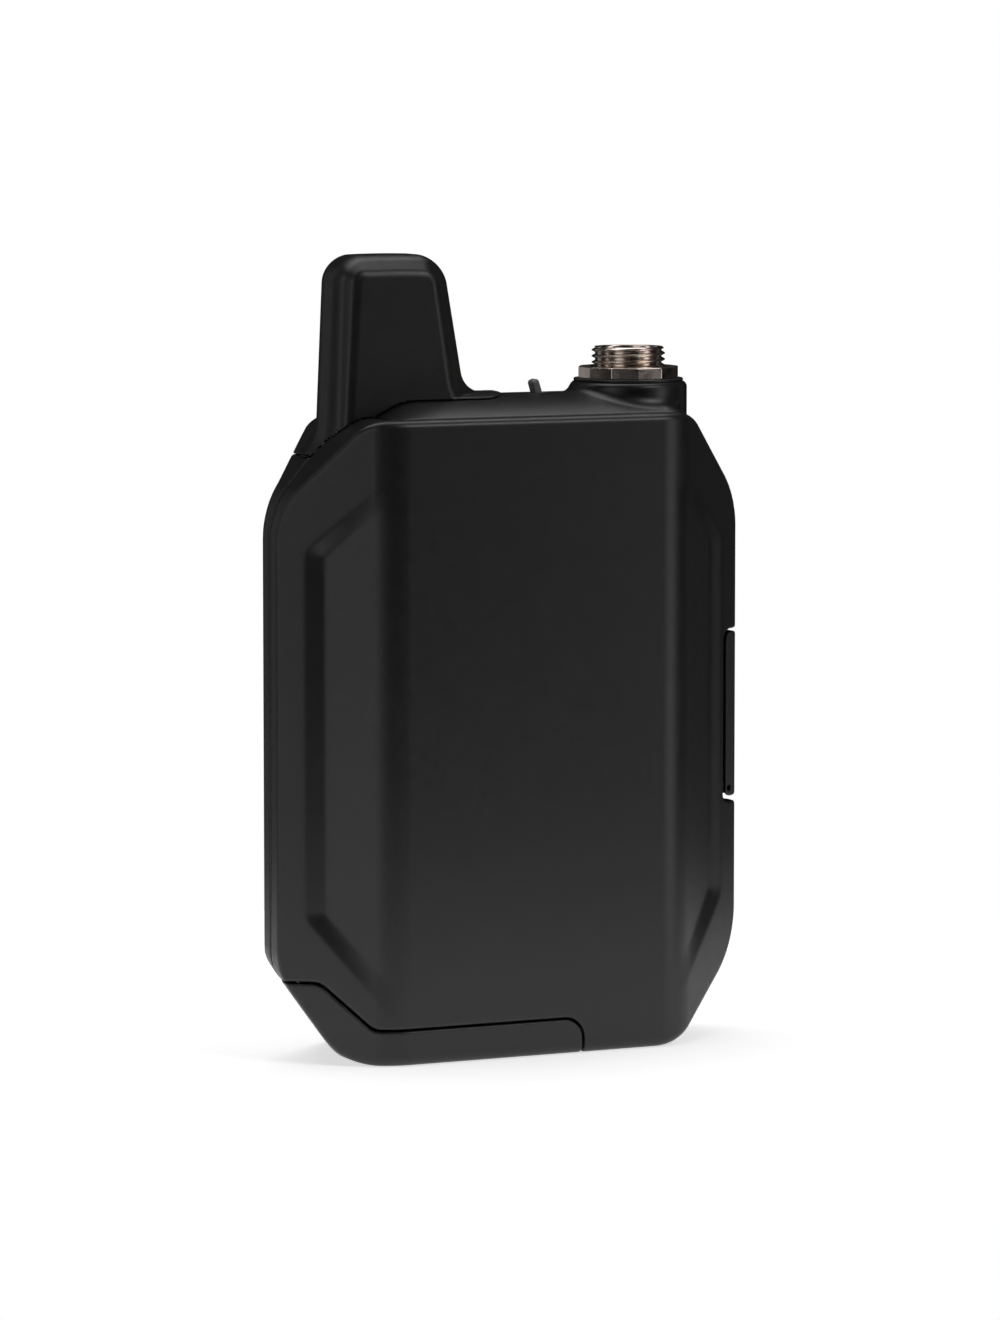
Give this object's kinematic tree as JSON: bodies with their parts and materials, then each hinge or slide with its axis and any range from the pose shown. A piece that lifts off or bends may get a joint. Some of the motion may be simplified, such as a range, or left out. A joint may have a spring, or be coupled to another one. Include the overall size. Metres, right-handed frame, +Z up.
{
  "type": "wireless bodypack transmitter",
  "caption": "Slim pocket-size wireless audio transmitter with a fin antenna, a threaded multi-pin connector, a hinged battery door, a side port cover and a spring belt clip.",
  "frame": {"origin": "middle of the flat bottom face, on the middle plane of the case", "axes": "+X to the right seen from the front, +Y from the front panel to the belt clip, +Z up to the antenna"},
  "size_m": [0.065, 0.0284, 0.1026],
  "materials": {
    "case_black": "satin",
    "cap_black": "matte",
    "circuit_board": "satin",
    "tinned_steel": "satin",
    "dark_plastic": "matte",
    "grey_plastic": "satin",
    "cover_rubber": "matte",
    "pin_steel": "satin",
    "lamp_lens": "gloss",
    "nickel": "polished",
    "gold": "polished",
    "battery_skin": "satin",
    "clip_steel": "satin",
    "label_film": "satin"
  },
  "bodies": {
    "case": {"front_shell": "case_black", "rear_shell": "case_black", "antenna_cap": "cap_black", "antenna_element": "circuit_board", "main_board": "circuit_board", "rf_shield": "tinned_steel", "io_board": "circuit_board", "usb_socket": "tinned_steel", "link_switch": "dark_plastic", "port_cover_pin": "pin_steel", "power_switch_body": "dark_plastic", "led_light_pipe": "lamp_lens", "connector_barrel": "nickel", "connector_insert": "dark_plastic", "connector_pins": "gold", "connector_washer": "nickel", "connector_nut": "nickel", "battery": "battery_skin", "battery_sleeve": "dark_plastic", "contact_block": "dark_plastic", "battery_contacts": "gold", "door_hinge_pin": "pin_steel", "clip_base": "clip_steel", "clip_screws": "pin_steel", "case_screws": "pin_steel", "rear_label": "label_film"},
    "door": {"battery_door": "case_black"},
    "door_lock": {"door_lock_lever": "dark_plastic"},
    "switch_lever": {"power_switch_lever": "grey_plastic"},
    "button": {"link_button": "dark_plastic"},
    "cover": {"port_cover": "cover_rubber"},
    "tongue": {"clip_tongue": "clip_steel"}
  },
  "joints": [
    {"name": "battery_door_hinge", "type": "hinge", "parent": "case", "child": "door", "pos_m": [0, 0.01065, 0.00365], "axis": [1, 0, 0], "range_deg": [0, 95]},
    {"name": "door_lock_slide", "type": "slide", "parent": "door", "child": "door_lock", "axis": [1, 0, 0], "range_m": [0, 0.0025]},
    {"name": "power_switch_toggle", "type": "hinge", "parent": "case", "child": "switch_lever", "pos_m": [0.0059, 0, 0.0816], "axis": [0, 1, 0], "range_deg": [0, 28]},
    {"name": "link_button_press", "type": "slide", "parent": "case", "child": "button", "axis": [-1, 0, 0], "range_m": [0, 0.0004], "stiffness_N_per_m": 300, "springref_m": -0.001},
    {"name": "port_cover_hinge", "type": "hinge", "parent": "case", "child": "cover", "pos_m": [0.0311, 0, 0.0322], "axis": [0, 1, 0], "range_deg": [0, 90]},
    {"name": "clip_spring", "type": "hinge", "parent": "case", "child": "tongue", "pos_m": [0, 0.0142, 0.0765], "axis": [1, 0, 0], "range_deg": [0, 12], "stiffness_Nm_per_rad": 3, "springref_deg": -1.72}
  ]
}
